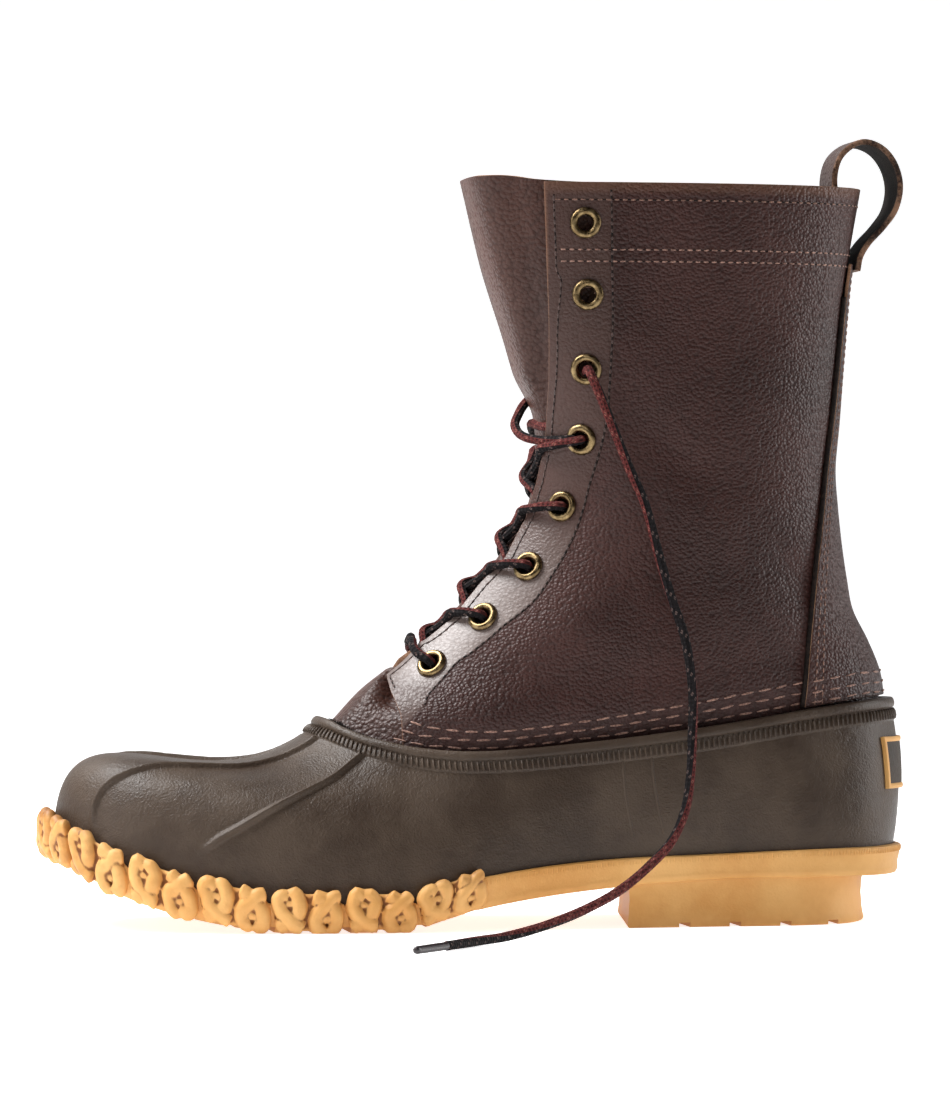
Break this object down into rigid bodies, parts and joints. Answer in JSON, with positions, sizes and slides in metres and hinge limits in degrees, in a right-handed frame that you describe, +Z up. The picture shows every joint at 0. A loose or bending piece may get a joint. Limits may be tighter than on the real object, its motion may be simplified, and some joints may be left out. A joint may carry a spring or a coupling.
{
  "type": "duck boot",
  "caption": "Laced duck boot for the left foot: moulded rubber bottom with a chain-patterned tan sole, tall leather shaft, tongue, brass eyelets, lace and a rear pull loop.",
  "frame": {"origin": "on the floor, on the heel tread, in the middle of the heel block's length", "axes": "-X from the heel to the toe, -Y the outer (lateral) side, +Z up"},
  "size_m": [0.3064, 0.2186, 0.2748],
  "materials": {
    "rubber_brown": "moulded, semi-matte dark brown",
    "rubber_tan": "moulded, semi-matte tan",
    "lining": "woven",
    "leather": "pebbled dark brown",
    "brass": "antique",
    "lace": "round braid, black and dark red"
  },
  "bodies": {
    "root": {"rubber_shell": "rubber_brown", "outsole": "rubber_tan", "insole": "lining", "leather_upper": "leather", "tongue": "leather", "backstay": "leather", "pull_loop": "leather", "heel_patch": "rubber_tan", "eyelet_left_1": "brass", "eyelet_left_2": "brass", "eyelet_left_3": "brass", "eyelet_left_4": "brass", "eyelet_left_5": "brass", "eyelet_left_6": "brass", "eyelet_left_7": "brass", "eyelet_left_8": "brass", "eyelet_right_1": "brass", "eyelet_right_2": "brass", "eyelet_right_3": "brass", "eyelet_right_4": "brass", "eyelet_right_5": "brass", "eyelet_right_6": "brass", "eyelet_right_7": "brass", "eyelet_right_8": "brass", "lace_bar": "lace", "lace_crossing_1": "lace", "lace_crossing_2": "lace", "lace_crossing_3": "lace", "lace_crossing_4": "lace", "lace_crossing_5": "lace", "lace_end": "lace"}
  },
  "joints": []
}
